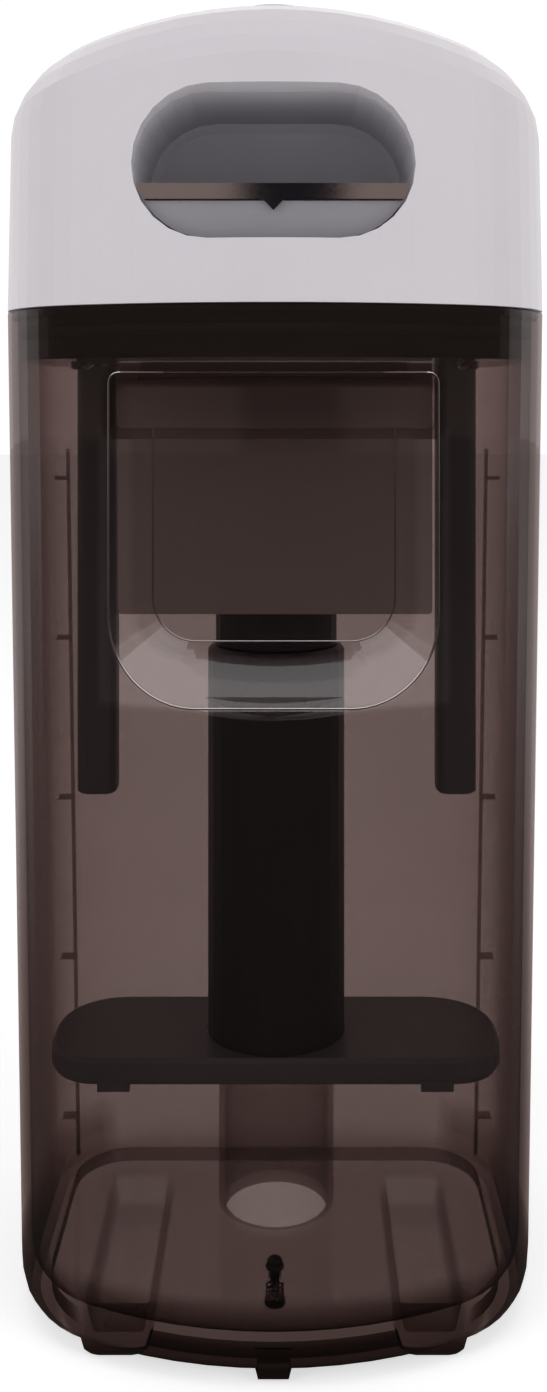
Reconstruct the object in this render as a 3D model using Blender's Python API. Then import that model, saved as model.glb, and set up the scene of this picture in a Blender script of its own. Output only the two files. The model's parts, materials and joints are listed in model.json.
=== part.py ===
"""Lift-out water tank of a pod coffee machine: smoked tank, white cap with a grip, float and valves.

Sizes are in millimetres and turn into metres where a mesh is made. The tank stands on its two feet
at z = 0, its front faces -Y, and x = 0 and y = 0 are the middle of its plan.
"""

import math

import bmesh
import bpy
from mathutils import Matrix, Vector

MM = 0.001
GAP = 0.3

# Plan outline of the cap and of the tank's rim
HALF_WIDTH = 65.1
FRONT_Y = -50.0
BACK_Y = 50.0
FRONT_RADIUS = 110.0
FRONT_CORNER = 33.0
BACK_CORNER = 22.0

# Tank
WALL = 2.6
SKIRT_Z = 2.5
UNDERSIDE_Z = 6.3
FLOOR_Z = 9.3
RIM_Z = 237.4
RIM_STEP = 1.5
DRAFT_X = 0.055
DRAFT_Y = 0.02
FOOT_X = 36.0
FOOT_HALF_WIDTH = 9.0
FOOT_FRONT_Y = -39.0
FOOT_BACK_Y = 25.5
FOOT_WALL = 1.4
TAB_HALF_WIDTH = 4.2
TAB_Z = 0.8
TAB_INSET = 3.2
TAB_DEPTH = 5.8
TICK_COUNT = 5
TICK_FIRST_Z = 20.4
TICK_PITCH = 43.75
TICK_LENGTH = 4.6
TICK_HALF_DEPTH = 1.2
TICK_Y = 31.5
RAIL_ABOVE_TICK = 8.0

# Finger recess in the tank's front wall
RECESS_HALF_WIDTH = 36.6
RECESS_LOW_Z = 148.9
RECESS_TOP_Z = 222.6
RECESS_STEP_Z = 210.0
RECESS_FLOOR_HALF_WIDTH = 27.6
RECESS_FLOOR_LOW_Z = 161.6
RECESS_FLOOR_Y = -35.0
RECESS_FRONT_CORNER = 19.0
RECESS_FLOOR_CORNER = 10.0
RECESS_CEILING_FALL = 3.0
RECESS_LIP = 0.5
RECESS_UPPER_Y = -27.0
RECESS_WALL = 2.4
RAMP_WALL = 3.0
RAMP_FLOOR_WALL = 1.7

# Central standpipe, open at the tank's floor, and the float that slides on it
PIPE_Y = 10.6
PIPE_RADIUS = 14.9
PIPE_BORE = 13.25
PIPE_TOP_Z = 151.3
SLEEVE_RADIUS = 17.7
SLEEVE_BORE = 15.5
SLEEVE_CEILING_Z = 151.6
SLEEVE_SHOULDER_Z = 153.6
PLATE_HALF_WIDTH = 57.0
PLATE_FRONT_Y = -8.8
PLATE_BACK_Y = 29.8
PLATE_LOW_Z = 47.6
PLATE_TOP_Z = 54.1
PLATE_SKIN = 1.6
PAD_X = 40.0
MAGNET_RADIUS = 10.0
MAGNET_HEIGHT = 8.0
MAGNET_CAP_RADIUS = 15.7
MAGNET_CAP_TOP_Z = 164.2

# Lid: plug that closes the tank's mouth, float stops and baffle
PLUG_LOW_Z = 226.0
PLUG_FLOOR_Z = 228.5
PLUG_TOP_Z = 244.0
PLUG_INSET = 3.0
SEAL_LOW_Z = 231.0
SEAL_TOP_Z = 233.6
STOP_X = 47.9
STOP_HALF_WIDTH = 5.25
STOP_Y = 23.0
STOP_HALF_DEPTH = 5.0
STOP_LOW_Z = 112.0
STOP_SCREW_TIP_Z = 216.5
BAFFLE_HALF_WIDTH = 38.4
BAFFLE_Y = -11.6
BAFFLE_THICKNESS = 1.8
BAFFLE_FLANGE = 6.0
BAFFLE_LOW_Z = 164.3

# Cap
CAP_LOW_Z = 237.9
CAP_TOP_Z = 305.5
CAP_WALL = 2.2
CAP_DRAFT_X = 0.0003
CROWN_RADIUS = 160.0
CAP_EDGE = 13.0
POST_RADIUS = 3.6
POST_SCREW_TIP_Z = 238.0
SCREW_BORE = 1.5
POST_PLACES = ((-46.0, -22.0), (46.0, -22.0), (-46.0, 37.0), (46.0, 37.0))
POCKET_HALF_WIDTH = 22.0
POCKET_LOW_Z = 251.0
POCKET_TOP_Z = 267.0
DOCK_POCKET_Y = 45.0

# Oval grip, its liner and its squeeze bar
GRIP_Z = 268.85
GRIP_FLAT = 14.5
GRIP_RADIUS = 16.95
COLLAR_Y = -40.0
LINER_WALL = 1.8
LINER_BACK_Y = 1.0
LINER_UNDERSIDE_Z = 250.0
BAR_FRONT_Y = -44.5
BAR_TOP_Z = 260.6
BAR_PLATE_TOP_Z = 256.0
BAR_ARM_X = 10.0
BAR_ARM_HALF_WIDTH = 1.0
BAR_ARM_LOW_Z = 252.9
BAR_ARM_TOP_Z = 255.9
BAR_ARM_BACK_Y = 7.0
BAR_LEG_X = 12.5
BAR_LEG_Y = -22.0
BAR_LEG_RADIUS = 2.0
BAR_LEG_LOW_Z = 231.6
BAR_FOOT_LOW_Z = 232.2
BAR_FOOT_TOP_Z = 233.8
TRIM_TOP_Z = 264.4
TRIM_PROUD = 1.1
POINTER_TIP_Z = 258.4
CATCH_PIN_Y = 14.0
CATCH_PIN_Z = 259.0
CATCH_PIN_RADIUS = 1.5
CATCH_SLOT_RADIUS = 1.85
CATCH_RAIL_X = 14.0
CATCH_RAIL_FRONT_Y = 12.0
CATCH_TIP_Y = 49.0
CATCH_HALF_HEIGHT = 2.0
BAR_TRAVEL = 5.0
CAM_PLATE = ((5.0, 249.8), (18.8, 249.8), (18.8, 263.8), (12.0, 263.8), (5.0, 258.0))

# Plunger in the cap's crown
PLUNGER_Y = -25.0
PLUNGER_RADIUS = 9.9
PLUNGER_TOP_Z = 307.5
PLUNGER_SKIRT_Z = 300.8
PLUNGER_CEILING_Z = 304.8
PLUNGER_SKIN = 2.3
STEM_RADIUS = 3.0
STEM_LOW_Z = 292.5
CLIP_LOW_Z = 293.7
CLIP_TOP_Z = 295.2
BOSS_LOW_Z = 295.5
WELL_Z = 298.0

# Outlet valve in the tank's floor
OUTLET_Y = -19.5
OUTLET_BORE = 1.5
OUTLET_STEM = 1.1
OUTLET_SEAL_RADIUS = 2.2
OUTLET_SEAL_LOW_Z = 9.6
OUTLET_SEAL_TOP_Z = 10.4
OUTLET_TOP_Z = 11.8
OUTLET_FOOT_RADIUS = 2.5
OUTLET_FOOT_LOW_Z = 1.0
OUTLET_FOOT_TOP_Z = 2.0

SHARP_ANGLE = math.radians(35.0)
ROUND_STEPS = 28
RECESS_STEPS = 9
GRIP_STEPS = 12
BAR_STEPS = 16


# Points and outlines


def arc(centre_x, centre_y, radius, start, end, steps):
    """Points on an arc, both ends included; angles in radians."""
    angles = [start + (end - start) * i / steps for i in range(steps + 1)]
    return [(centre_x + radius * math.cos(a), centre_y + radius * math.sin(a)) for a in angles]


def plan_outline(inset=0.0):
    """Plan outline moved inwards by inset, anticlockwise from the middle of the front."""
    corner_x = HALF_WIDTH - FRONT_CORNER
    front_centre = FRONT_Y + FRONT_RADIUS
    reach = FRONT_RADIUS - FRONT_CORNER
    lean = math.asin(corner_x / reach)
    corner_y = front_centre - reach * math.cos(lean)
    quarter = math.pi / 2
    right = arc(0, front_centre, FRONT_RADIUS - inset, -quarter, lean - quarter, 6)
    right += arc(corner_x, corner_y, FRONT_CORNER - inset, lean - quarter, 0, 8)[1:]
    back_x = HALF_WIDTH - BACK_CORNER
    right += arc(back_x, BACK_Y - BACK_CORNER, BACK_CORNER - inset, 0, quarter, 6)
    left = [(-x, y) for x, y in reversed(right[1:])]
    return right + left


def front_surface_y(x):
    """Where the outer front face stands at a given x."""
    return FRONT_Y + FRONT_RADIUS - math.sqrt(FRONT_RADIUS**2 - x**2)


def tank_ring(inset, z):
    """Plan outline at height z of the tank, which narrows downwards for moulding draft."""
    down = (RIM_Z - z) / RIM_Z
    wide = 1 - DRAFT_X * down
    deep = 1 - DRAFT_Y * down
    return [(x * wide, y * deep, z) for x, y in plan_outline(inset)]


def rounded_rectangle(half_width, low, top, low_radius, top_radius, steps=5):
    """Closed outline in two coordinates, anticlockwise from the lower left corner's arc."""
    turn = math.pi / 2
    points = arc(-half_width + low_radius, low + low_radius, low_radius, 2 * turn, 3 * turn, steps)
    points += arc(half_width - low_radius, low + low_radius, low_radius, -turn, 0, steps)
    points += arc(half_width - top_radius, top - top_radius, top_radius, 0, turn, steps)
    points += arc(-half_width + top_radius, top - top_radius, top_radius, turn, 2 * turn, steps)
    return points


def stadium(grow=0.0, steps=GRIP_STEPS):
    """Outline of the grip opening in x and z, moved outwards by grow."""
    turn = math.pi / 2
    radius = GRIP_RADIUS + grow
    points = arc(GRIP_FLAT, GRIP_Z, radius, -turn, turn, steps)
    points += arc(-GRIP_FLAT, GRIP_Z, radius, turn, 3 * turn, steps)
    return points


def circle(centre_x, centre_y, radius, steps=ROUND_STEPS):
    return arc(centre_x, centre_y, radius, 0, 2 * math.pi, steps)[:-1]


# Meshes


def material(name, colour, roughness, metallic=0.0, alpha=1.0):
    made = bpy.data.materials.new(name)
    made.use_nodes = True
    shader = made.node_tree.nodes["Principled BSDF"]
    shader.inputs["Base Color"].default_value = (*colour, 1.0)
    shader.inputs["Roughness"].default_value = roughness
    shader.inputs["Metallic"].default_value = metallic
    shader.inputs["Alpha"].default_value = alpha
    return made


def finish_object(name, mesh_data, finish=None):
    """Turns bmesh data in millimetres into a scene object in metres, with its normals outwards."""
    bmesh.ops.remove_doubles(mesh_data, verts=mesh_data.verts, dist=0.0005)
    bmesh.ops.scale(mesh_data, vec=(MM, MM, MM), verts=mesh_data.verts)
    bmesh.ops.recalc_face_normals(mesh_data, faces=mesh_data.faces)
    bmesh.ops.triangulate(mesh_data, faces=mesh_data.faces)
    mesh = bpy.data.meshes.new(name)
    mesh_data.to_mesh(mesh)
    mesh_data.free()
    mesh.shade_smooth()
    mesh.set_sharp_from_angle(angle=SHARP_ANGLE)
    made = bpy.data.objects.new(name, mesh)
    bpy.context.scene.collection.objects.link(made)
    if finish:
        mesh.materials.append(finish)
    return made


def loft(name, rings, finish=None, closed_loop=False):
    """Skin through rings of equal length; the end rings are capped unless the loft closes on itself."""
    data = bmesh.new()
    rows = [[data.verts.new(point) for point in ring] for ring in rings]
    pairs = list(zip(rows, rows[1:]))
    if closed_loop:
        pairs.append((rows[-1], rows[0]))
    for low, high in pairs:
        count = len(low)
        for i in range(count):
            j = (i + 1) % count
            data.faces.new((low[i], low[j], high[j], high[i]))
    if not closed_loop:
        data.faces.new(list(reversed(rows[0])))
        data.faces.new(rows[-1])
    return finish_object(name, data, finish)


def turned(name, profile, centre, finish=None, steps=ROUND_STEPS):
    """Solid of revolution about a vertical axis from (radius, z) points; radius 0 meets the axis."""
    data = bmesh.new()
    columns = []
    for radius, z in profile:
        if radius == 0:
            columns.append([data.verts.new((centre[0], centre[1], z))] * steps)
        else:
            columns.append([data.verts.new((x, y, z)) for x, y in circle(*centre, radius, steps)])
    on_axis = [radius == 0 for radius, _ in profile]
    for k, low in enumerate(columns):
        high = columns[(k + 1) % len(columns)]
        if on_axis[k] and on_axis[(k + 1) % len(columns)]:
            continue
        for i in range(steps):
            j = (i + 1) % steps
            corners = dict.fromkeys((low[i], low[j], high[j], high[i]))
            data.faces.new(list(corners))
    return finish_object(name, data, finish)


def cylinder(name, x, y, radius, low, high, finish=None, steps=ROUND_STEPS):
    profile = [(0, low), (radius, low), (radius, high), (0, high)]
    return turned(name, profile, (x, y), finish, steps)


def prism(name, outline, low, high, axis="z", finish=None):
    """Flat outline drawn out along an axis: z from (x, y) points, y from (x, z), x from (y, z)."""
    place = {
        "z": lambda a, b, level: (a, b, level),
        "y": lambda a, b, level: (a, level, b),
        "x": lambda a, b, level: (level, a, b),
    }[axis]
    rings = [[place(a, b, level) for a, b in outline] for level in (low, high)]
    return loft(name, rings, finish)


def block(name, low, high, finish=None):
    """Box between two corners."""
    outline = [(low[0], low[1]), (high[0], low[1]), (high[0], high[1]), (low[0], high[1])]
    return prism(name, outline, low[2], high[2], "z", finish)


def combine(target, tool, operation):
    """Boolean of target with a tool, which becomes a hidden guide and goes once it is applied."""
    step = target.modifiers.new(operation, "BOOLEAN")
    step.operation = operation
    step.solver = "EXACT"
    step.object = tool
    with bpy.context.temp_override(object=target, active_object=target):
        bpy.ops.object.modifier_apply(modifier=step.name)
    bpy.data.objects.remove(tool)
    target.data.shade_smooth()
    target.data.set_sharp_from_angle(angle=SHARP_ANGLE)


def add(target, tool):
    combine(target, tool, "UNION")


def cut(target, tool):
    combine(target, tool, "DIFFERENCE")


def bore(target, x, y, radius, low, high, steps=12):
    """Cuts a round upright hole between two heights."""
    cut(target, cylinder("bore", x, y, radius, low, high, steps=steps))


def place_origin(target, x, y, z):
    """Moves the origin to a point in millimetres and leaves the mesh where it stands."""
    origin = Vector((x, y, z)) * MM
    target.data.transform(Matrix.Translation(-origin))
    target.location = origin


def spring(name, centre, coil_radius, wire_radius, low, high, turns, finish, sides=5, steps=9):
    """Compression spring of round wire standing on a vertical axis."""
    data = bmesh.new()
    rows = []
    count = int(turns * steps)
    low += wire_radius
    high -= wire_radius
    slope = math.atan2(high - low, turns * 2 * math.pi * coil_radius)
    for i in range(count + 1):
        angle = 2 * math.pi * turns * i / count
        z = low + (high - low) * i / count
        row = []
        for k in range(sides):
            around = 2 * math.pi * k / sides
            out = coil_radius + wire_radius * math.cos(around)
            lift = wire_radius * math.sin(around)
            x = out * math.cos(angle) + lift * math.sin(slope) * math.sin(angle)
            y = out * math.sin(angle) - lift * math.sin(slope) * math.cos(angle)
            row.append(data.verts.new((centre[0] + x, centre[1] + y, z + lift * math.cos(slope))))
        rows.append(row)
    for low_row, high_row in zip(rows, rows[1:]):
        for k in range(sides):
            j = (k + 1) % sides
            data.faces.new((low_row[k], low_row[j], high_row[j], high_row[k]))
    data.faces.new(list(reversed(rows[0])))
    data.faces.new(rows[-1])
    return finish_object(name, data, finish)


def surface_ring(outline, offset):
    """An (x, z) outline laid on the curved front face, offset mm behind its outer surface."""
    return [(x, front_surface_y(x) + offset, z) for x, z in outline]


def flat_ring(outline, y):
    return [(x, y, z) for x, z in outline]


# Tank


def recess_outlines(grow_front, grow_floor):
    """The finger recess's outline on the front face and the smaller one on its floor."""
    front = rounded_rectangle(
        RECESS_HALF_WIDTH + grow_front,
        RECESS_LOW_Z - grow_front,
        RECESS_STEP_Z + 4,
        RECESS_FRONT_CORNER + grow_front,
        2.0,
        RECESS_STEPS,
    )
    floor = rounded_rectangle(
        RECESS_FLOOR_HALF_WIDTH + grow_floor,
        RECESS_FLOOR_LOW_Z - grow_floor,
        RECESS_STEP_Z + 2,
        RECESS_FLOOR_CORNER + grow_floor,
        2.0,
        RECESS_STEPS,
    )
    return front, floor


def upper_outline(grow, fall=0.0):
    """The square-sided upper part of the recess, with its ceiling lower by fall."""
    low = RECESS_STEP_Z - grow
    high = RECESS_TOP_Z + grow - fall
    return rounded_rectangle(RECESS_HALF_WIDTH + grow, low, high, 1.5, 2.2 + grow)


def build_recess(tank):
    """Adds the recess's walls to the tank, then opens them from the front."""
    half_wall = WALL / 2
    front, floor = recess_outlines(RAMP_WALL, RAMP_FLOOR_WALL)
    walls = [surface_ring(front, half_wall), flat_ring(floor, RECESS_FLOOR_Y + RECESS_WALL)]
    add(tank, loft("recess_walls", walls))
    upper_front = upper_outline(RECESS_WALL)
    upper_back = upper_outline(RECESS_WALL, RECESS_CEILING_FALL)
    walls = [surface_ring(upper_front, half_wall), flat_ring(upper_back, RECESS_UPPER_Y + RECESS_WALL)]
    add(tank, loft("upper_walls", walls))
    front, floor = recess_outlines(0.0, 0.0)
    lip, _ = recess_outlines(RECESS_LIP, 0.0)
    opening = [flat_ring(lip, FRONT_Y - 10), surface_ring(lip, 0), surface_ring(front, RECESS_LIP)]
    opening.append(flat_ring(floor, RECESS_FLOOR_Y))
    cut(tank, loft("recess_space", opening))
    upper_front = upper_outline(0.0)
    upper_back = upper_outline(0.0, RECESS_CEILING_FALL)
    opening = [flat_ring(upper_front, FRONT_Y - 10), flat_ring(upper_back, RECESS_UPPER_Y)]
    cut(tank, loft("upper_space", opening))


def build_feet(tank):
    """Two hollow feet that run from front to back, with a channel in each that opens upwards."""
    for side in (-1, 1):
        rings = []
        for z, shrink in ((0.0, 2.2), (1.0, 1.4), (UNDERSIDE_Z + 1.0, 0.0)):
            half = FOOT_HALF_WIDTH - shrink
            low = FOOT_FRONT_Y + shrink
            high = FOOT_BACK_Y - shrink
            outline = rounded_rectangle(half, low, high, 3.0, 3.0, 3)
            rings.append([(side * FOOT_X + x, y, z) for x, y in outline])
        add(tank, loft("foot", rings))
        rings = []
        for z, shrink in ((1.8, 1.6), (FLOOR_Z + 1.0, 0.0)):
            half = FOOT_HALF_WIDTH - FOOT_WALL - shrink
            low = FOOT_FRONT_Y + 6.0 + shrink
            high = FOOT_BACK_Y - FOOT_WALL - shrink
            outline = rounded_rectangle(half, low, high, 1.2, 1.2, 3)
            rings.append([(side * FOOT_X + x, y, z) for x, y in outline])
        cut(tank, loft("channel", rings))


def tick_tip_x(z):
    """How far from the middle a level mark's tip stands at height z, inside the drafted side wall."""
    return HALF_WIDTH * (1 - DRAFT_X * (RIM_Z - z) / RIM_Z) - WALL - TICK_LENGTH


def build_ticks(tank):
    """Level marks: a ladder of short fins with a thin rail at their tips, near each back corner."""
    front, back = TICK_Y - TICK_HALF_DEPTH, TICK_Y + TICK_HALF_DEPTH
    levels = [TICK_FIRST_Z + TICK_PITCH * k for k in range(TICK_COUNT)]
    for side in (-1, 1):
        for z in levels:
            tip = tick_tip_x(z)
            low_x, high_x = sorted((side * tip, side * (tip + TICK_LENGTH + WALL / 2)))
            add(tank, block("tick", (low_x, front, z - 0.5), (high_x, back, z + 0.5)))
        ends = []
        for z in (FLOOR_Z - 1.5, levels[-1] + RAIL_ABOVE_TICK):
            low_x, high_x = sorted((side * (tick_tip_x(z) - 0.4), side * (tick_tip_x(z) + 0.5)))
            corners = ((low_x, -0.5), (high_x, -0.5), (high_x, 0.5), (low_x, 0.5))
            ends.append([(x, TICK_Y + y, z) for x, y in corners])
        add(tank, loft("rail", ends))


def build_tab(tank):
    """Small tapered tab under the middle of the front edge."""
    rings = []
    for z, shrink in ((TAB_Z, 0.8), (SKIRT_Z + 2.0, 0.0)):
        half = TAB_HALF_WIDTH - shrink
        low = FRONT_Y + TAB_INSET + shrink
        high = FRONT_Y + TAB_INSET + TAB_DEPTH
        rings.append([(-half, low, z), (half, low, z), (half, high, z), (-half, high, z)])
    add(tank, loft("tab", rings))


def tank_shell(finish):
    """Loft from the middle of the underside, round the skirt, up the outside and down the inside."""
    profile = [
        (12.0, UNDERSIDE_Z),
        (7.4, UNDERSIDE_Z),
        (7.4, SKIRT_Z),
        (4.6, SKIRT_Z),
        (2.4, 3.6),
        (0.9, 6.0),
        (0.2, 9.0),
        (0.0, 12.5),
        (0.0, RIM_Z),
        (WALL / 2, RIM_Z),
        (WALL / 2, RIM_Z - RIM_STEP),
        (WALL, RIM_Z - RIM_STEP),
        (WALL, 15.5),
        (3.0, 12.6),
        (4.4, 10.4),
        (6.9, FLOOR_Z),
        (12.0, FLOOR_Z),
    ]
    tank = loft("tank_shell", [tank_ring(inset, z) for inset, z in profile], finish)
    build_recess(tank)
    build_feet(tank)
    build_ticks(tank)
    build_tab(tank)
    bore(tank, 0, PIPE_Y, PIPE_BORE, UNDERSIDE_Z - 2, FLOOR_Z + 2, ROUND_STEPS)
    bore(tank, 0, OUTLET_Y, OUTLET_BORE, UNDERSIDE_Z - 2, FLOOR_Z + 2, 16)
    return tank


def standpipe(finish):
    """Tube round the floor's opening, closed at the top, where the machine's level probe goes in."""
    low = FLOOR_Z + GAP
    profile = [
        (PIPE_BORE, low),
        (PIPE_RADIUS, low),
        (PIPE_RADIUS, PIPE_TOP_Z - 1.5),
        (PIPE_RADIUS - 1.5, PIPE_TOP_Z),
        (0, PIPE_TOP_Z),
        (0, PIPE_TOP_Z - 1.8),
        (PIPE_BORE - 1.0, PIPE_TOP_Z - 1.8),
        (PIPE_BORE, PIPE_TOP_Z - 2.8),
    ]
    return turned("standpipe", profile, (0, PIPE_Y), finish)


# Float


def float_plate(finish):
    """Wide shallow float, open underneath, with a hole for the sleeve and two pads below."""
    low, top, skin = PLATE_LOW_Z, PLATE_TOP_Z, PLATE_SKIN

    def ring(z, shrink):
        half = PLATE_HALF_WIDTH - shrink
        front = PLATE_FRONT_Y + shrink
        back = PLATE_BACK_Y - shrink
        outline = rounded_rectangle(half, front, back, 12.5 - shrink, 17.0 - shrink, 6)
        return [(x, y, z) for x, y in outline]

    rings = [
        ring(top - skin, 6.0),
        ring(top - skin, skin + 0.8),
        ring(low, skin + 0.8),
        ring(low, 1.0),
        ring(low + 1.6, 0.0),
        ring(top - 1.0, 0.0),
        ring(top, 1.0),
        ring(top, 6.0),
    ]
    plate = loft("float_plate", rings, finish)
    for side in (-1, 1):
        middle = side * PAD_X
        pad_low = (middle - 4.0, PLATE_FRONT_Y + 0.4, low - 1.6)
        add(plate, block("pad", pad_low, (middle + 4.0, PLATE_FRONT_Y + 2.2, low + 2.0)))
    bore(plate, 0, PIPE_Y, SLEEVE_RADIUS + GAP, low - 5, top + 5, ROUND_STEPS)
    return plate


def float_sleeve(finish):
    """Tall sleeve of the float, which rests with its ceiling on the standpipe's top."""
    profile = [
        (SLEEVE_BORE, PLATE_LOW_Z + 0.4),
        (SLEEVE_RADIUS, PLATE_LOW_Z + 0.4),
        (SLEEVE_RADIUS, SLEEVE_SHOULDER_Z - 1.2),
        (SLEEVE_RADIUS - 1.2, SLEEVE_SHOULDER_Z),
        (0, SLEEVE_SHOULDER_Z),
        (0, SLEEVE_CEILING_Z),
        (SLEEVE_BORE, SLEEVE_CEILING_Z),
    ]
    return turned("float_sleeve", profile, (0, PIPE_Y), finish)


def float_magnet(finish):
    low = SLEEVE_SHOULDER_Z + GAP
    return cylinder("float_magnet", 0, PIPE_Y, MAGNET_RADIUS, low, low + MAGNET_HEIGHT, finish)


def magnet_cap(finish):
    """Cap over the magnet on top of the sleeve."""
    low = SLEEVE_SHOULDER_Z + GAP
    ceiling = low + MAGNET_HEIGHT + GAP
    profile = [
        (MAGNET_RADIUS + GAP, low),
        (MAGNET_CAP_RADIUS, low),
        (MAGNET_CAP_RADIUS, MAGNET_CAP_TOP_Z - 1.0),
        (MAGNET_CAP_RADIUS - 1.0, MAGNET_CAP_TOP_Z),
        (0, MAGNET_CAP_TOP_Z),
        (0, ceiling),
        (MAGNET_RADIUS + GAP, ceiling),
    ]
    return turned("magnet_cap", profile, (0, PIPE_Y), finish)


# Lid


def lid_ring(inset, z):
    return [(x, y, z) for x, y in plan_outline(inset)]


def mouth_plug(finish):
    """Black tray that plugs the tank's mouth, rests on the rim's ledge and carries the seal."""
    outer = PLUG_INSET
    ledge = RIM_Z - RIM_STEP + GAP
    inner = outer + 1.8
    profile = [
        (14.0, PLUG_LOW_Z),
        (outer + 0.8, PLUG_LOW_Z),
        (outer, PLUG_LOW_Z + 0.8),
        (outer, SEAL_LOW_Z - GAP),
        (outer + 1.3, SEAL_LOW_Z - GAP),
        (outer + 1.3, SEAL_TOP_Z + GAP),
        (outer, SEAL_TOP_Z + GAP),
        (outer, ledge),
        (WALL / 2 + GAP, ledge),
        (WALL / 2 + GAP, RIM_Z),
        (outer, RIM_Z),
        (outer, PLUG_TOP_Z),
        (inner + 1.0, PLUG_TOP_Z),
        (inner + 1.0, PLUG_FLOOR_Z),
        (14.0, PLUG_FLOOR_Z),
    ]
    plug = loft("mouth_plug", [lid_ring(inset, z) for inset, z in profile], finish)
    for x, y in POST_PLACES:
        bore(plug, x, y, SCREW_BORE, PLUG_LOW_Z - 1, PLUG_FLOOR_Z + 1)
    for side in (-1, 1):
        low = (side * CATCH_RAIL_X - 2.5, 35.0, PLUG_FLOOR_Z - 0.5)
        high = (side * CATCH_RAIL_X + 2.5, 38.5, CATCH_PIN_Z - CATCH_HALF_HEIGHT - GAP)
        add(plug, block("rail_guide", low, high))
        bore(plug, side * STOP_X, STOP_Y, SCREW_BORE, PLUG_LOW_Z - 1, PLUG_FLOOR_Z + 1)
    return plug


def mouth_seal(finish):
    """Rubber ring in the plug's groove."""
    inside = PLUG_INSET + 1.3 - GAP
    outside = WALL + GAP
    middle = (SEAL_LOW_Z + SEAL_TOP_Z) / 2
    profile = [
        (inside, SEAL_LOW_Z),
        (outside + 0.4, SEAL_LOW_Z),
        (outside, middle),
        (outside + 0.4, SEAL_TOP_Z),
        (inside, SEAL_TOP_Z),
    ]
    return loft("mouth_seal", [lid_ring(i, z) for i, z in profile], finish, closed_loop=True)


def float_stop(name, side, finish):
    """Black leg under the plug whose foot stops the rising float."""
    rings = []
    for z, shrink in ((STOP_LOW_Z, 0.8), (STOP_LOW_Z + 0.8, 0.0), (PLUG_LOW_Z - GAP, 0.0)):
        half = STOP_HALF_WIDTH - shrink
        depth = STOP_HALF_DEPTH - shrink
        outline = rounded_rectangle(half, -depth, depth, 2.4, 2.4, 4)
        rings.append([(side * STOP_X + x, STOP_Y + y, z) for x, y in outline])
    leg = loft(name, rings, finish)
    bore(leg, side * STOP_X, STOP_Y, SCREW_BORE, PLUG_LOW_Z - 12, PLUG_LOW_Z + 1)
    return leg


def baffle_panel(finish):
    """Sheet between the recess and the float, which keeps splashes off the plug."""
    low, high = BAFFLE_Y, BAFFLE_Y + BAFFLE_THICKNESS
    top = PLUG_LOW_Z - GAP
    outline = rounded_rectangle(BAFFLE_HALF_WIDTH, BAFFLE_LOW_Z, top, 1.0, 0.5, 3)
    panel = prism("baffle_panel", outline, low, high, "y", finish)
    half_flange = BAFFLE_HALF_WIDTH - 8
    flange_low = (-half_flange, low - BAFFLE_FLANGE, top - BAFFLE_THICKNESS)
    add(panel, block("flange", flange_low, (half_flange, low + 0.4, top)))
    return panel


def screw(name, x, y, head_low, head_top, tip, finish):
    """Pan-head screw; its tip points up or down from the head."""
    shank, head = 1.2, 2.7
    if tip > head_top:
        profile = [(0, head_low), (head - 0.8, head_low), (head, head_low + 0.8), (head, head_top)]
        profile += [(shank, head_top), (shank, tip - 1.0), (0, tip)]
    else:
        profile = [(0, tip), (shank, tip + 1.0), (shank, head_low), (head, head_low)]
        profile += [(head, head_top - 0.8), (head - 0.8, head_top), (0, head_top)]
    return turned(name, profile, (x, y), finish, steps=16)


def crown_z(x, top):
    """Height of the crown, arched across the cap's width."""
    return top - x * x / (2 * CROWN_RADIUS)


def cap_surface(inset, steps):
    """Rings of a domed cover: straight side, rounded edge and arched crown, ending near the middle."""
    top = CAP_TOP_Z - inset
    edge = CAP_EDGE - inset
    rings = [[(x, y, CAP_LOW_Z) for x, y in plan_outline(inset)]]
    for k in range(steps + 1):
        angle = math.pi / 2 * k / steps
        ring = []
        for x, y in plan_outline(inset + edge * (1 - math.cos(angle))):
            z = crown_z(x, top) - edge * (1 - math.sin(angle))
            ring.append((x * (1 - CAP_DRAFT_X * (z - CAP_LOW_Z)), y, z))
        rings.append(ring)
    crown_edge = rings[-1]
    for share in (0.72, 0.42, 0.14):
        rings.append([(x * share, y * share, crown_z(x * share, top)) for x, y, _ in crown_edge])
    return rings


def rear_pocket(cap):
    """Pocket in the cap's back where the machine's tongue goes in between the two catches."""
    half, low, high = POCKET_HALF_WIDTH, POCKET_LOW_Z, POCKET_TOP_Z
    outline = rounded_rectangle(half + CAP_WALL, low - CAP_WALL, high + CAP_WALL, 4.0, 4.0, 3)
    add(cap, prism("pocket_walls", outline, DOCK_POCKET_Y - CAP_WALL, BACK_Y - CAP_WALL / 2, "y"))
    outline = rounded_rectangle(half, low, high, 2.0, 2.0, 3)
    cut(cap, prism("pocket_space", outline, DOCK_POCKET_Y, BACK_Y + 5, "y"))
    for side in (-1, 1):
        low = (side * CATCH_RAIL_X - 2.2, DOCK_POCKET_Y - 6, CATCH_PIN_Z - 2.8)
        high = (side * CATCH_RAIL_X + 2.2, DOCK_POCKET_Y + 2, CATCH_PIN_Z + 2.8)
        cut(cap, block("catch_slot", low, high))


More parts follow.
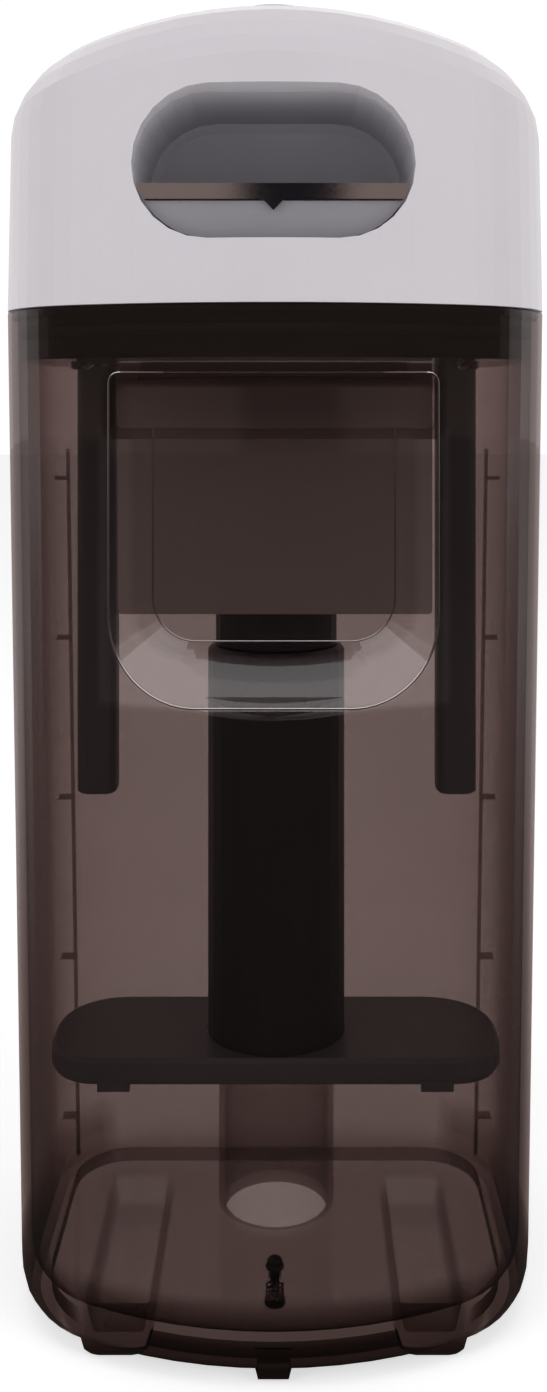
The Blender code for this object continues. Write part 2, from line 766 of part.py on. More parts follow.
def cap_shell(finish):
    """White domed cap with the oval grip opening, plunger well, screw posts and rear pocket."""
    outside = cap_surface(0.0, 5)
    inside = cap_surface(CAP_WALL, 3)
    cap = loft("cap_shell", list(reversed(outside)) + inside, finish)
    for x, y in POST_PLACES:
        top = crown_z(x, CAP_TOP_Z) - 1.0
        low = PLUG_FLOOR_Z + GAP
        add(cap, cylinder("post", x, y, POST_RADIUS, low, top, steps=16))
        bore(cap, x, y, SCREW_BORE, low - 1, low + 12)
    collar = stadium(2.0)
    walls = [surface_ring(collar, CAP_WALL / 2), flat_ring(collar, COLLAR_Y)]
    add(cap, loft("collar", walls))
    cut(cap, prism("grip_opening", stadium(), FRONT_Y - 10, COLLAR_Y + 5, "y"))
    add(cap, cylinder("boss", 0, PLUNGER_Y, PLUNGER_RADIUS + 2.5, BOSS_LOW_Z, CAP_TOP_Z - 1.5))
    bore(cap, 0, PLUNGER_Y, PLUNGER_RADIUS + GAP, WELL_Z, CAP_TOP_Z + 5, ROUND_STEPS)
    bore(cap, 0, PLUNGER_Y, STEM_RADIUS + GAP, BOSS_LOW_Z - 5, WELL_Z + 2)
    rear_pocket(cap)
    return cap


def grip_liner(finish):
    """Grey cup behind the oval opening, with slots for the squeeze bar's legs and arms."""
    front = COLLAR_Y + GAP
    outer, inner = stadium(LINER_WALL), stadium()
    rings = [
        flat_ring(stadium(-6.0), LINER_BACK_Y),
        flat_ring(stadium(LINER_WALL - 2.0), LINER_BACK_Y),
        flat_ring(outer, LINER_BACK_Y - 2.0),
        flat_ring(outer, front),
        flat_ring(inner, front),
        flat_ring(inner, LINER_BACK_Y - LINER_WALL - 2.0),
        flat_ring(stadium(-2.0), LINER_BACK_Y - LINER_WALL),
        flat_ring(stadium(-6.0), LINER_BACK_Y - LINER_WALL),
    ]
    liner = loft("grip_liner", rings, finish)
    for side in (-1, 1):
        low, high = LINER_UNDERSIDE_Z - 4, LINER_UNDERSIDE_Z + 6
        bore(liner, side * BAR_LEG_X, BAR_LEG_Y, BAR_LEG_RADIUS + 0.6, low, high, 16)
        half = BAR_ARM_HALF_WIDTH + 0.4
        slot_low = (side * BAR_ARM_X - half, LINER_BACK_Y - 5, BAR_ARM_LOW_Z - 0.6)
        slot_high = (side * BAR_ARM_X + half, LINER_BACK_Y + 2, BAR_ARM_TOP_Z + BAR_TRAVEL + 2.3)
        cut(liner, block("arm_slot", slot_low, slot_high))
    return liner


# Squeeze bar and the catches it draws in


def clipped(outline, level, below=True):
    """The part of an outline on one side of a level, with its two crossings of that level added."""
    side = 1 if below else -1
    kept = []
    count = len(outline)
    for i, (x, z) in enumerate(outline):
        next_x, next_z = outline[(i + 1) % count]
        if side * (z - level) <= 0:
            kept.append((x, z))
        if (z - level) * (next_z - level) < 0:
            share = (level - z) / (next_z - z)
            kept.append((x + (next_x - x) * share, level))
    return kept


def bar_outline(top):
    """The part of the grip's outline below a given height, a little smaller than the liner."""
    return clipped(stadium(-0.5, BAR_STEPS), top)


def squeeze_bar(finish):
    """Grey bar across the bottom of the grip, with two legs down and two slotted arms backwards."""
    bar = prism("squeeze_bar", bar_outline(BAR_TOP_Z), BAR_FRONT_Y, BAR_FRONT_Y + 5.0, "y", finish)
    back = LINER_BACK_Y - LINER_WALL - 2.6
    add(bar, prism("plate", bar_outline(BAR_PLATE_TOP_Z), BAR_FRONT_Y + 4.0, back, "y"))
    eighth = math.pi / 4
    slot = arc(CATCH_PIN_Y, CATCH_PIN_Z, CATCH_SLOT_RADIUS, -eighth, 3 * eighth, 8)
    slot_low = (CATCH_PIN_Y - BAR_TRAVEL, CATCH_PIN_Z - BAR_TRAVEL)
    slot += arc(*slot_low, CATCH_SLOT_RADIUS, 3 * eighth, 7 * eighth, 8)
    leg_top = BAR_PLATE_TOP_Z - 1.5
    for side in (-1, 1):
        x = side * BAR_LEG_X
        add(bar, cylinder("leg", x, BAR_LEG_Y, BAR_LEG_RADIUS, BAR_LEG_LOW_Z, leg_top, steps=16))
        low, high = side * BAR_ARM_X - BAR_ARM_HALF_WIDTH, side * BAR_ARM_X + BAR_ARM_HALF_WIDTH
        add(bar, block("arm", (low, back - 3, BAR_ARM_LOW_Z), (high, BAR_ARM_BACK_Y, BAR_ARM_TOP_Z)))
        add(bar, prism("cam_plate", CAM_PLATE, low, high, "x"))
        cut(bar, prism("cam_slot", slot, low - 2, high + 2, "x"))
    place_origin(bar, 0, BAR_LEG_Y, BAR_PLATE_TOP_Z)
    return bar


def bar_trim(finish):
    """Chrome strip on the squeeze bar's front edge, with a small pointer at its middle."""
    low = BAR_TOP_Z + GAP
    front = BAR_FRONT_Y - TRIM_PROUD
    band = clipped(clipped(stadium(-0.6, BAR_STEPS), TRIM_TOP_Z), low, below=False)
    trim = prism("bar_trim", band, front, BAR_FRONT_Y + 3.0, "y", finish)
    tip = [(-3.0, low + 0.6), (-2.4, low), (0.0, POINTER_TIP_Z), (2.4, low), (3.0, low + 0.6)]
    add(trim, prism("pointer", tip, front, BAR_FRONT_Y - GAP, "y"))
    return trim


def bar_foot(name, side, finish):
    """Push nut on a leg's end, which holds the return spring."""
    inner, outer = BAR_LEG_RADIUS + GAP, BAR_LEG_RADIUS + 2.2
    low, high = BAR_FOOT_LOW_Z, BAR_FOOT_TOP_Z
    profile = [(inner, low), (outer, low), (outer, high), (inner, high)]
    return turned(name, profile, (side * BAR_LEG_X, BAR_LEG_Y), finish, steps=20)


def catch_slide(finish):
    """Cross pin in the bar's slots, two rails and the two hooks that hold the tank in the machine."""
    pin = circle(CATCH_PIN_Y, CATCH_PIN_Z, CATCH_PIN_RADIUS, 16)
    slide = prism("catch_slide", pin, -CATCH_RAIL_X, CATCH_RAIL_X, "x", finish)
    low_z, high_z = CATCH_PIN_Z - CATCH_HALF_HEIGHT, CATCH_PIN_Z + CATCH_HALF_HEIGHT
    rail = [(CATCH_RAIL_FRONT_Y, low_z), (CATCH_TIP_Y - 2.5, low_z), (CATCH_TIP_Y, CATCH_PIN_Z + 0.5)]
    rail += [(CATCH_TIP_Y, high_z), (CATCH_RAIL_FRONT_Y, high_z)]
    for side in (-1, 1):
        x = side * CATCH_RAIL_X
        add(slide, prism("rail", rail, x - 1.6, x + 1.6, "x"))
    reach = CATCH_RAIL_X + 1.0
    add(slide, block("bridge", (-reach, 27.0, low_z + 0.6), (reach, 30.5, high_z - 0.6)))
    place_origin(slide, 0, CATCH_PIN_Y, CATCH_PIN_Z)
    return slide


# Plunger


def crown_plunger(finish):
    """Sprung plunger in the crown that snaps into the machine's socket."""
    top = PLUNGER_TOP_Z
    radius = PLUNGER_RADIUS
    profile = [
        (0, STEM_LOW_Z),
        (STEM_RADIUS, STEM_LOW_Z),
        (STEM_RADIUS, PLUNGER_CEILING_Z),
        (radius - PLUNGER_SKIN, PLUNGER_CEILING_Z),
        (radius - PLUNGER_SKIN, PLUNGER_SKIRT_Z),
        (radius, PLUNGER_SKIRT_Z),
        (radius, top - 1.8),
        (radius - 0.6, top - 0.7),
        (radius - 1.8, top - 0.1),
        (0, top),
    ]
    plunger = turned("crown_plunger", profile, (0, PLUNGER_Y), finish)
    place_origin(plunger, 0, PLUNGER_Y, top)
    return plunger


def plunger_clip(finish):
    """Ring on the stem that stops the plunger at the top of its travel."""
    inner, outer = STEM_RADIUS + GAP, STEM_RADIUS + 2.6
    profile = [(inner, CLIP_LOW_Z), (outer, CLIP_LOW_Z), (outer, CLIP_TOP_Z), (inner, CLIP_TOP_Z)]
    return turned("plunger_clip", profile, (0, PLUNGER_Y), finish, steps=20)


# Outlet valve


def outlet_pin(finish):
    """Valve stem through the tank's floor; the machine's spigot lifts it."""
    head = OUTLET_SEAL_RADIUS - 0.4
    low, high = OUTLET_FOOT_LOW_Z - 0.1, OUTLET_TOP_Z
    under_head = OUTLET_SEAL_TOP_Z + GAP
    profile = [(0, low), (OUTLET_STEM, low), (OUTLET_STEM, under_head), (head, under_head)]
    profile += [(head, high - 0.5), (head - 0.5, high), (0, high)]
    pin = turned("outlet_pin", profile, (0, OUTLET_Y), finish, steps=16)
    place_origin(pin, 0, OUTLET_Y, FLOOR_Z)
    return pin


def outlet_seal(finish):
    """Washer under the stem's head that closes the floor's bore."""
    inner, outer = OUTLET_STEM + GAP, OUTLET_SEAL_RADIUS
    low, high = OUTLET_SEAL_LOW_Z, OUTLET_SEAL_TOP_Z
    profile = [(inner, low), (outer, low), (outer, high - 0.3), (outer - 0.3, high), (inner, high)]
    return turned("outlet_seal", profile, (0, OUTLET_Y), finish, steps=16)


def outlet_foot(finish):
    """Push plate clipped on the stem's lower end."""
    inner, outer = OUTLET_STEM + GAP, OUTLET_FOOT_RADIUS
    low, high = OUTLET_FOOT_LOW_Z, OUTLET_FOOT_TOP_Z
    profile = [(inner, low), (outer, low), (outer, high), (inner, high)]
    return turned("outlet_foot", profile, (0, OUTLET_Y), finish, steps=16)


def clear_scene():
    for item in list(bpy.data.objects):
        bpy.data.objects.remove(item)


def main():
    clear_scene()
    smoke = material("smoked_plastic", (0.30, 0.25, 0.24), 0.08, alpha=0.45)
    white = material("white_plastic", (0.60, 0.58, 0.60), 0.30)
    grey = material("grey_plastic", (0.18, 0.17, 0.19), 0.45)
    black = material("black_plastic", (0.022, 0.021, 0.023), 0.45)
    chrome = material("chrome", (0.85, 0.84, 0.86), 0.06, 1.0)
    rubber = material("rubber", (0.03, 0.03, 0.032), 0.75)
    steel = material("spring_steel", (0.55, 0.55, 0.56), 0.3, 1.0)
    magnet = material("magnet", (0.35, 0.35, 0.37), 0.35, 1.0)

    tank_shell(smoke)
    standpipe(smoke)
    float_plate(black)
    float_sleeve(black)
    float_magnet(magnet)
    magnet_cap(black)

    mouth_plug(black)
    mouth_seal(rubber)
    baffle_panel(grey)
    cap_shell(white)
    grip_liner(grey)
    for number, (x, y) in enumerate(POST_PLACES, 1):
        screw(f"cap_screw_{number}", x, y, PLUG_LOW_Z - 2.2, PLUG_LOW_Z - GAP, POST_SCREW_TIP_Z, steel)
    for word, side in (("left", -1), ("right", 1)):
        float_stop(f"float_stop_{word}", side, black)
        head = PLUG_FLOOR_Z + GAP
        screw(f"stop_screw_{word}", side * STOP_X, STOP_Y, head, head + 2.0, STOP_SCREW_TIP_Z, steel)

    squeeze_bar(grey)
    bar_trim(chrome)
    catch_slide(black)
    for word, side in (("left", -1), ("right", 1)):
        bar_foot(f"bar_foot_{word}", side, black)
        centre = (side * BAR_LEG_X, BAR_LEG_Y)
        low, high = BAR_FOOT_TOP_Z + GAP, LINER_UNDERSIDE_Z - GAP
        spring(f"bar_spring_{word}", centre, BAR_LEG_RADIUS + 1.1, 0.4, low, high, 6, steel)

    crown_plunger(grey)
    plunger_clip(black)
    low, high = WELL_Z + GAP, PLUNGER_CEILING_Z - GAP
    spring("plunger_spring", (0, PLUNGER_Y), STEM_RADIUS + 2.3, 0.4, low, high, 3, steel)

    outlet_pin(rubber)
    outlet_seal(rubber)
    outlet_foot(black)
    low, high = OUTLET_FOOT_TOP_Z + GAP, UNDERSIDE_Z - GAP
    spring("outlet_spring", (0, OUTLET_Y), OUTLET_STEM + 0.95, 0.25, low, high, 3, steel)


main()
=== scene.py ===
"""Studio scene of the pod coffee machine's lift-out water tank: finishes, fine pieces, light and camera.

Sizes are in metres. The tank stands on its feet at z = 0 and its front faces -Y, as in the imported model.
"""

import json
import math

import bmesh
import bpy
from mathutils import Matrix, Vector


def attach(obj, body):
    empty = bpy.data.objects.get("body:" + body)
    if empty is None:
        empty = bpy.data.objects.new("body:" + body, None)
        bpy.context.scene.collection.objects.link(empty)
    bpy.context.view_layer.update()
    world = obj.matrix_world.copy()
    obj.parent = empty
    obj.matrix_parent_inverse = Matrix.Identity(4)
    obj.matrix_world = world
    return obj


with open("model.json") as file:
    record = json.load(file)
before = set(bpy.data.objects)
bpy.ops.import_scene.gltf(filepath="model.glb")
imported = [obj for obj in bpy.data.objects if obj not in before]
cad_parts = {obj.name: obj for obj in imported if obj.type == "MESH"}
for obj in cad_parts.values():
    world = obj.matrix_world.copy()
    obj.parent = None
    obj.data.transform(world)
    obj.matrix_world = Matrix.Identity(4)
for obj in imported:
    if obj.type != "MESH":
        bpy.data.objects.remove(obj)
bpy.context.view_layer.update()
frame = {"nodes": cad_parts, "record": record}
NODES = frame["nodes"]

# What a metre of the smoked plastic takes from the light, times 1 less its colour
SMOKE_DENSITY = 80.0
# Share of the light that a clear surface mirrors when seen square on
SQUARE_ON_GLARE = 0.038
EDGE_ON_GLARE = 0.21
# A bent ray's way through a clear wall is at most this much longer than the wall is thick
LONGEST_PATH = 1.3
# How much more light the outer walls near the bottom take than a plain wall, partly for the thick moulded base
# and partly as painted shade of the dark ground under the tank, and the heights it fades between
BASE_PATH_AND_SHADE = 4.5
BASE_LOW, BASE_HIGH = 0.003, 0.019
# The same for the feet and the tab: partly because they are solid below, partly painted shade of the ground
# under the tank
FOOT_PATH_AND_SHADE = 2.2
FOOT_LOW, FOOT_HIGH = 0.003, 0.0058
# The recess's sloping walls are tinted lighter than the rest: painted reflection, standing in for the light
# their chamfers mirror
SLOPE_PAINTED_LIGHTENING = 0.5

# Finishes, as linear colours
SKIN_TINT = (0.671, 0.623, 0.613)
PIPE_TINT = (0.87, 0.85, 0.845)
SMOKE = (0.30, 0.161, 0.128)
WHITE = (0.60, 0.575, 0.605)
GREY = (0.5, 0.48, 0.52)
BAR = (0.25, 0.24, 0.265)
PANEL = (0.36, 0.33, 0.325)
CHARCOAL = (0.15, 0.16, 0.175)
BLACK = (0.02, 0.0195, 0.022)

# Plan curve of the tank's front face, its height, and how much it narrows to the floor
FACE_RADIUS, FACE_CENTRE_Y = 0.110, 0.060
FACE_HEIGHT, FACE_DRAFT = 0.2374, 0.02
# The finger recess's mouth: centres of its lower and upper corners, and their radii
CORNER_X = 0.0176
MOUTH_LOW_Z, MOUTH_LOW_RADIUS = 0.1679, 0.0190
MOUTH_HIGH_X, MOUTH_HIGH_Z, MOUTH_HIGH_RADIUS = 0.0344, 0.2204, 0.0022
# The foot of its sloping walls
FOOT_X, FOOT_TOP_Z = 0.0276, 0.2100
FOOT_CORNER_Z, FOOT_RADIUS, FOOT_Y = 0.1716, 0.0100, -0.0351
MOUTH_BEAD, FOOT_BEAD = 0.00028, 0.00018


# Node helpers


def new_material(name):
    made = bpy.data.materials.new(name)
    made.use_nodes = True
    made.node_tree.nodes.clear()
    return made, made.node_tree


def add_node(tree, kind, inputs=None, **settings):
    made = tree.nodes.new(kind)
    for key, value in settings.items():
        setattr(made, key, value)
    for key, value in (inputs or {}).items():
        if isinstance(value, bpy.types.NodeSocket):
            tree.links.new(value, made.inputs[key])
        else:
            made.inputs[key].default_value = value
    return made


def noise(tree, scale, detail=3.0, stretch=(1, 1, 1)):
    """Noise that sits still on the object, from 0 to 1; scale is in features a metre."""
    place = add_node(tree, "ShaderNodeTexCoord").outputs["Object"]
    mapped = add_node(tree, "ShaderNodeMapping", {"Vector": place, "Scale": stretch})
    inputs = {"Vector": mapped.outputs["Vector"], "Scale": scale, "Detail": detail}
    return add_node(tree, "ShaderNodeTexNoise", inputs).outputs["Fac"]


def remap(tree, value, low, high, at_low=0.0, at_high=1.0, **settings):
    """Goes from at_low to at_high as a value goes from low to high, and no further."""
    inputs = {"Value": value, "From Min": low, "From Max": high, "To Min": at_low, "To Max": at_high}
    return add_node(tree, "ShaderNodeMapRange", inputs, **settings).outputs["Result"]


def spread(tree, source, low, high):
    """Maps the middle of a noise's range onto low to high."""
    return remap(tree, source, 0.3, 0.7, low, high)


def arithmetic(tree, operation, *values):
    return add_node(tree, "ShaderNodeMath", dict(enumerate(values)), operation=operation).outputs[0]


def object_axes(tree):
    """X, Y and Z of the point being shaded, in the object's own frame."""
    place = add_node(tree, "ShaderNodeTexCoord").outputs["Object"]
    return add_node(tree, "ShaderNodeSeparateXYZ", {"Vector": place}).outputs


def colour_mix(tree, factor, first, second):
    """Goes from the first colour to the second as the factor goes from 0 to 1."""
    mix = add_node(tree, "ShaderNodeMix", data_type="RGBA")
    tree.links.new(factor, mix.inputs["Factor"])
    sockets = [socket for socket in mix.inputs if socket.type == "RGBA"]
    for socket, value in zip(sockets, (first, second)):
        if isinstance(value, bpy.types.NodeSocket):
            tree.links.new(value, socket)
        else:
            socket.default_value = value
    return [socket for socket in mix.outputs if socket.type == "RGBA"][0]


def scaled(colour, factor):
    return tuple(min(1.0, c * factor) for c in colour[:3]) + (1.0,)


def varied(tree, colour, source, amount):
    """The colour, a little darker and lighter from place to place."""
    place = spread(tree, source, 0.0, 1.0)
    return colour_mix(tree, place, scaled(colour, 1 - amount), scaled(colour, 1 + amount))


def bump(tree, height, distance, strength=1.0):
    inputs = {"Height": height, "Distance": distance, "Strength": strength}
    return add_node(tree, "ShaderNodeBump", inputs).outputs["Normal"]


def close_tree(tree, surface):
    add_node(tree, "ShaderNodeOutputMaterial", {"Surface": surface})


# Materials


def moulded(name, colour, roughness, grain=2200.0, depth=0.00001, variation=0.04, metallic=0.0):
    """Opaque moulded plastic or rubber: fine spark-eroded grain and slightly uneven gloss."""
    made, tree = new_material(name)
    broad = noise(tree, 35.0)
    fine = noise(tree, grain, 2.0)
    inputs = {
        "Base Color": varied(tree, colour, broad, variation),
        "Roughness": spread(tree, broad, roughness * 0.88, roughness * 1.12),
        "Normal": bump(tree, fine, depth),
        "Metallic": metallic,
    }
    close_tree(tree, add_node(tree, "ShaderNodeBsdfPrincipled", inputs).outputs["BSDF"])
    return made


def slope_painted_reflection(tree):
    """Lighter tint on the walls that slope from the front face into the finger recess: painted reflection of
    the light their chamfers mirror.
    """
    axes = object_axes(tree)
    limits = [
        remap(tree, arithmetic(tree, "ABSOLUTE", axes["X"]), 0.040, 0.0385),
        remap(tree, axes["Y"], -0.0345, -0.0362),
        remap(tree, axes["Z"], 0.1475, 0.1495),
        remap(tree, axes["Z"], 0.211, 0.2095),
    ]
    inside = limits[0]
    for limit in limits[1:]:
        inside = arithmetic(tree, "MULTIPLY", inside, limit)
    return arithmetic(tree, "MULTIPLY_ADD", inside, SLOPE_PAINTED_LIGHTENING - 1.0, 1.0)


def base_path_and_painted_shade(tree):
    """Longer way through the outer walls near the bottom and through the feet: partly the thick moulding,
    partly painted shade of the dark ground under the tank.
    """
    axes = object_axes(tree)
    normal = add_node(tree, "ShaderNodeTexCoord").outputs["Normal"]
    lean = add_node(tree, "ShaderNodeSeparateXYZ", {"Vector": normal}).outputs["Z"]
    low = remap(tree, axes["Z"], BASE_LOW, BASE_HIGH, 1.0, 0.0)
    upright = remap(tree, arithmetic(tree, "ABSOLUTE", lean), 0.8, 0.97, BASE_PATH_AND_SHADE, 0.0)
    side = remap(tree, arithmetic(tree, "ABSOLUTE", axes["X"]), 0.045, 0.050)
    rear = arithmetic(tree, "MULTIPLY", remap(tree, axes["Y"], 0.0, 0.02), -0.7)
    side = arithmetic(tree, "MULTIPLY_ADD", side, rear, side)
    front = remap(tree, arithmetic(tree, "MULTIPLY", axes["Y"], -1.0), 0.034, 0.037)
    skirt = arithmetic(tree, "MULTIPLY", low, arithmetic(tree, "MAXIMUM", side, front))
    # darker feet: partly solid plastic, partly painted shade of the ground beneath
    foot = remap(tree, axes["Z"], FOOT_LOW, FOOT_HIGH, FOOT_PATH_AND_SHADE, 0.0)
    plain = arithmetic(tree, "MULTIPLY_ADD", foot, front, 1.0)
    return arithmetic(tree, "MULTIPLY_ADD", skirt, upright, plain)


def smoked(name, tint=SKIN_TINT, density=SMOKE_DENSITY, roughness=0.03):
    """Clear smoked plastic: its surfaces mirror more when seen edge on, and its depth takes the light."""
    made, tree = new_material(name)
    facing = add_node(tree, "ShaderNodeLayerWeight", {"Blend": 0.5}).outputs["Facing"]
    slant = remap(tree, facing, 0.0, 1.0, 1.0, LONGEST_PATH)
    slant = arithmetic(tree, "MULTIPLY", slant, spread(tree, noise(tree, 18.0), 0.97, 1.03))
    # the tint deepens at the base and feet (partly painted shade) and lightens on the recess slopes (painted
    # reflection)
    shape = arithmetic(tree, "MULTIPLY", base_path_and_painted_shade(tree), slope_painted_reflection(tree))
    path = arithmetic(tree, "MULTIPLY", slant, shape)
    channels = add_node(tree, "ShaderNodeCombineColor")
    for channel, value in zip(("Red", "Green", "Blue"), tint):
        tree.links.new(arithmetic(tree, "POWER", value, path), channels.inputs[channel])
    clear = add_node(tree, "ShaderNodeBsdfTransparent", {"Color": channels.outputs["Color"]})
    gloss_inputs = {
        "Color": (0.95, 0.95, 0.95, 1.0),
        "Roughness": spread(tree, noise(tree, 300.0), roughness * 0.6, roughness * 1.4),
        "Normal": bump(tree, noise(tree, 60.0, 1.0), 0.00002),
    }
    gloss = add_node(tree, "ShaderNodeBsdfAnisotropic", gloss_inputs)
    grazing = arithmetic(tree, "POWER", facing, 3.0)
    glare = remap(tree, grazing, 0.0, 1.0, SQUARE_ON_GLARE, EDGE_ON_GLARE)
    both = {"Fac": glare, 1: clear.outputs["BSDF"], 2: gloss.outputs["BSDF"]}
    surface = add_node(tree, "ShaderNodeMixShader", both).outputs["Shader"]
    smoke = {"Color": (*SMOKE, 1.0), "Density": density}
    taken = add_node(tree, "ShaderNodeVolumeAbsorption", smoke).outputs["Volume"]
    add_node(tree, "ShaderNodeOutputMaterial", {"Surface": surface, "Volume": taken})
    return made


def plated(name, colour, roughness, scratch=0.000002):
    """Bright plated metal with faint polishing marks."""
    made, tree = new_material(name)
    marks = noise(tree, 900.0, 4.0, (1, 8, 8))
    inputs = {
        "Base Color": varied(tree, colour, noise(tree, 60.0), 0.03),
        "Roughness": spread(tree, marks, roughness * 0.7, roughness * 1.3),
        "Normal": bump(tree, marks, scratch),
        "Metallic": 1.0,
    }
    close_tree(tree, add_node(tree, "ShaderNodeBsdfPrincipled", inputs).outputs["BSDF"])
    return made


FINISHES = {
    "smoked": smoked("smoked_plastic_clear"),
    "pipe": smoked("smoked_plastic_thin", PIPE_TINT, SMOKE_DENSITY / 2),
    "white": moulded("white_plastic_satin", WHITE, 0.36, 2600.0, 0.000006, 0.015),
    "grey": moulded("grey_plastic_matte", GREY, 0.5),
    "bar": moulded("bar_plastic_matte", BAR, 0.5),
    "panel": moulded("panel_plastic_matte", PANEL, 0.55),
    "charcoal": moulded("charcoal_plastic_matte", CHARCOAL, 0.45),
    "black": moulded("black_plastic_matte", BLACK, 0.42),
    "sleeve": moulded("sleeve_plastic_matte", (0.04, 0.042, 0.052), 0.4),
    "gloss": moulded("black_plastic_polished", (0.018, 0.0175, 0.019), 0.14),
    "rubber": moulded("seal_rubber", (0.022, 0.022, 0.024), 0.7, 1500.0, 0.00002),
    "chrome": plated("chrome_plate", (0.86, 0.85, 0.87), 0.06),
    "steel": plated("drawn_steel", (0.56, 0.55, 0.56), 0.24, 0.000006),
    "nickel": plated("nickel_plate", (0.42, 0.41, 0.40), 0.2, 0.000004),
    "edge": plated("clear_edge", (0.42, 0.385, 0.375), 0.16, 0.000004),
}

SLOT_FINISH = {
    "smoked_plastic": "smoked",
    "white_plastic": "white",
    "grey_plastic": "grey",
    "black_plastic": "black",
    "chrome": "chrome",
    "rubber": "rubber",
    "steel": "steel",
    "magnet": "nickel",
}
NODE_FINISH = {
    "standpipe": "pipe",
    "mouth_plug": "gloss",
    "float_sleeve": "sleeve",
    "magnet_cap": "sleeve",
    "squeeze_bar": "bar",
    "baffle_panel": "panel",
    "float_plate": "charcoal",
    "float_stop_left": "charcoal",
    "float_stop_right": "charcoal",
}


def finish_nodes():
    """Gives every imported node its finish, from its own entry or from its slot."""
    for part in frame["record"]["subparts"]:
        name = part["node"]
        finish = NODE_FINISH.get(name) or SLOT_FINISH[part["material_slot"]]
        slots = NODES[name].data.materials
        slots.clear()
        slots.append(FINISHES[finish])


# Rounded edges of the finger recess, which catch the light


def quarter_arc(centre_x, centre_z, radius, start, steps=12):
    """Points of a quarter turn anticlockwise in x and z from a start angle."""
    angles = [start + math.pi / 2 * i / steps for i in range(steps + 1)]
    return [(centre_x + radius * math.cos(a), centre_z + radius * math.sin(a)) for a in angles]


def front_face_y(x, z):
    """Where the tank's curved and drafted front face stands."""
    curve = FACE_CENTRE_Y - math.sqrt(FACE_RADIUS**2 - x * x)
    return curve * (1 - FACE_DRAFT * (FACE_HEIGHT - z) / FACE_HEIGHT)


def edge_bead(name, points, radius, closed):
    data = bpy.data.curves.new(name, "CURVE")
    data.dimensions = "3D"
    data.bevel_depth = radius
    data.bevel_resolution = 2
    data.use_fill_caps = True
    line = data.splines.new("POLY")
    line.points.add(len(points) - 1)
    for point, place in zip(line.points, points):
        point.co = (*place, 1.0)
    line.use_cyclic_u = closed
    guide = bpy.data.objects.new(name + "_guide", data)
    bpy.context.scene.collection.objects.link(guide)
    bpy.context.view_layer.update()
    mesh = bpy.data.meshes.new_from_object(guide.evaluated_get(bpy.context.evaluated_depsgraph_get()))
    bpy.data.objects.remove(guide)
    mesh.name = name
    mesh.shade_smooth()
    mesh.materials.clear()
    mesh.materials.append(FINISHES["edge"])
    bead = bpy.data.objects.new(name, mesh)
    bpy.context.scene.collection.objects.link(bead)
    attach(bead, "tank")


def add_recess_edges():
    """Bright rounded edges round the recess's mouth and along the foot of its sloping walls."""
    turn = math.pi / 2
    mouth = quarter_arc(-CORNER_X, MOUTH_LOW_Z, MOUTH_LOW_RADIUS, 2 * turn)
    mouth += quarter_arc(CORNER_X, MOUTH_LOW_Z, MOUTH_LOW_RADIUS, 3 * turn)
    mouth += quarter_arc(MOUTH_HIGH_X, MOUTH_HIGH_Z, MOUTH_HIGH_RADIUS, 0, 4)
    mouth += quarter_arc(-MOUTH_HIGH_X, MOUTH_HIGH_Z, MOUTH_HIGH_RADIUS, turn, 4)
    points = [(x, front_face_y(x, z) + 0.0002, z) for x, z in mouth]
    edge_bead("recess_mouth_edge", points, MOUTH_BEAD, True)
    foot = [(-FOOT_X, FOOT_TOP_Z)] + quarter_arc(-CORNER_X, FOOT_CORNER_Z, FOOT_RADIUS, 2 * turn)
    foot += quarter_arc(CORNER_X, FOOT_CORNER_Z, FOOT_RADIUS, 3 * turn) + [(FOOT_X, FOOT_TOP_Z)]
    edge_bead("recess_floor_edge", [(x, FOOT_Y, z) for x, z in foot], FOOT_BEAD, False)


# Studio


def add_floor():
    """Plain pale floor; what the gloss mirrors of it is bright behind the tank and dim in front."""
    mesh = bpy.data.meshes.new("floor")
    data = bmesh.new()
    bmesh.ops.create_circle(data, cap_ends=True, radius=6.0, segments=64)
    data.to_mesh(mesh)
    data.free()
    floor = bpy.data.objects.new("floor", mesh)
    bpy.context.scene.collection.objects.link(floor)
    floor.location = (0, 0, -0.0002)
    made, tree = new_material("pale_floor")
    pale = add_node(tree, "ShaderNodeBsdfDiffuse", {"Color": (0.85, 0.85, 0.85, 1)})
    glow = add_node(tree, "ShaderNodeEmission", {"Color": (1, 1, 1, 1), "Strength": 0.6})
    lit = add_node(tree, "ShaderNodeAddShader", {0: pale.outputs["BSDF"], 1: glow.outputs["Emission"]})
    place = add_node(tree, "ShaderNodeNewGeometry").outputs["Position"]
    far = add_node(tree, "ShaderNodeSeparateXYZ", {"Vector": place}).outputs["Y"]
    behind = remap(tree, far, -0.1, 0.5, interpolation_type="SMOOTHSTEP")
    mirrored = colour_mix(tree, behind, (0.05, 0.043, 0.04, 1), (0.7, 0.69, 0.7, 1))
    dim = add_node(tree, "ShaderNodeEmission", {"Color": mirrored, "Strength": 1.0})
    rays = add_node(tree, "ShaderNodeLightPath")
    parts = {"Fac": rays.outputs["Is Glossy Ray"], 1: lit.outputs["Shader"], 2: dim.outputs["Emission"]}
    close_tree(tree, add_node(tree, "ShaderNodeMixShader", parts).outputs["Shader"])
    mesh.materials.append(made)


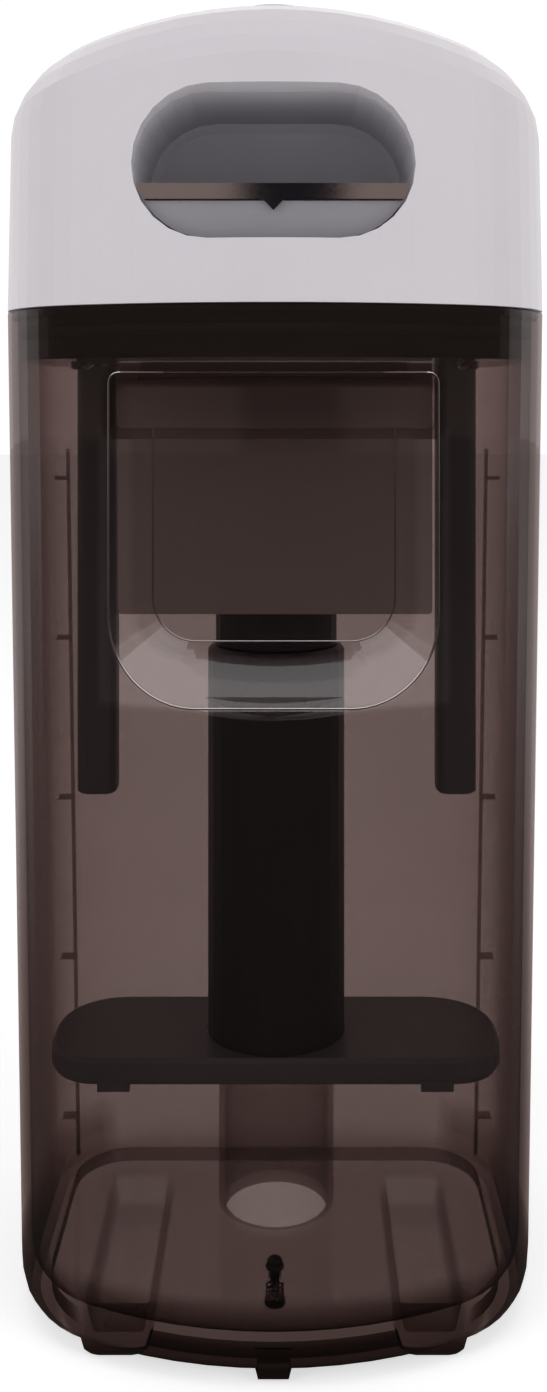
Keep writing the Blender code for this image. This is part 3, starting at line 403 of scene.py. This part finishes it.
def add_world():
    """White surroundings. What the gloss mirrors is a white backdrop behind and a dim warm studio in front."""
    world = bpy.data.worlds.new("studio")
    bpy.context.scene.world = world
    world.use_nodes = True
    tree = world.node_tree
    tree.nodes.clear()
    direction = add_node(tree, "ShaderNodeTexCoord").outputs["Generated"]
    axes = add_node(tree, "ShaderNodeSeparateXYZ", {"Vector": direction}).outputs
    aside = remap(tree, arithmetic(tree, "ABSOLUTE", axes["X"]), 0.030, 0.042)
    front = colour_mix(tree, aside, (0.006, 0.006, 0.008, 1), (0.17, 0.128, 0.115, 1))
    behind = remap(tree, axes["Y"], -0.15, 0.5, interpolation_type="SMOOTHSTEP")
    around = colour_mix(tree, behind, front, (1.1, 1.08, 1.1, 1))
    overhead = remap(tree, axes["Z"], 0.4, 0.6, interpolation_type="SMOOTHSTEP")
    mirrored = colour_mix(tree, overhead, around, (2.2, 2.16, 2.2, 1))
    seen = add_node(tree, "ShaderNodeBackground", {"Color": (1, 1, 1, 1), "Strength": 1.05})
    lit = add_node(tree, "ShaderNodeBackground", {"Color": (1, 0.98, 0.99, 1), "Strength": 0.37})
    gloss = add_node(tree, "ShaderNodeBackground", {"Color": mirrored, "Strength": 1.0})
    rays = add_node(tree, "ShaderNodeLightPath").outputs
    parts = {"Fac": rays["Is Glossy Ray"], 1: lit.outputs["Background"], 2: gloss.outputs["Background"]}
    inner = add_node(tree, "ShaderNodeMixShader", parts)
    parts = {"Fac": rays["Is Camera Ray"], 1: inner.outputs["Shader"], 2: seen.outputs["Background"]}
    outer = add_node(tree, "ShaderNodeMixShader", parts)
    add_node(tree, "ShaderNodeOutputWorld", {"Surface": outer.outputs["Shader"]})


def add_softbox(name, place, aim, width, height, power):
    """Soft light that neither the camera nor the gloss sees."""
    light = bpy.data.lights.new(name, "AREA")
    light.shape = "RECTANGLE"
    light.size = width
    light.size_y = height
    light.energy = power
    box = bpy.data.objects.new(name, light)
    bpy.context.scene.collection.objects.link(box)
    box.location = place
    box.rotation_euler = (Vector(aim) - Vector(place)).to_track_quat("-Z", "Y").to_euler()
    box.visible_camera = False
    box.visible_glossy = False


def add_lights():
    middle = (0, 0, 0.17)
    add_softbox("left_box", (-1.0, -0.7, 0.45), middle, 0.6, 1.0, 3.9)
    add_softbox("right_box", (1.0, -0.7, 0.45), middle, 0.6, 1.0, 3.9)
    add_softbox("top_box", (0, -0.33, 1.3), middle, 0.75, 0.5, 1.9)


def add_camera():
    """Level camera close in front of the tank, level with its finger recess, framed low by its shift."""
    data = bpy.data.cameras.new("camera")
    data.sensor_width = 36.0
    data.lens = 36.87
    data.shift_x = -0.0133
    data.shift_y = -0.209
    data.clip_start = 0.01
    camera = bpy.data.objects.new("camera", data)
    bpy.context.scene.collection.objects.link(camera)
    camera.location = (0.0041, -0.36, 0.2154)
    camera.rotation_euler = (math.pi / 2, 0, 0)
    bpy.context.scene.camera = camera


def soften_edges():
    """Rounds the chrome strip's sharp edges, which catch the light as bright lines."""
    edge = NODES["bar_trim"].modifiers.new("edge", "BEVEL")
    edge.width = 0.00035
    edge.segments = 2
    edge.limit_method = "ANGLE"
    edge.angle_limit = math.radians(50)


finish_nodes()
soften_edges()
add_recess_edges()
add_floor()
add_world()
add_lights()
add_camera()
bpy.context.scene.view_settings.view_transform = "Standard"
bpy.context.scene.cycles.transparent_max_bounces = 24
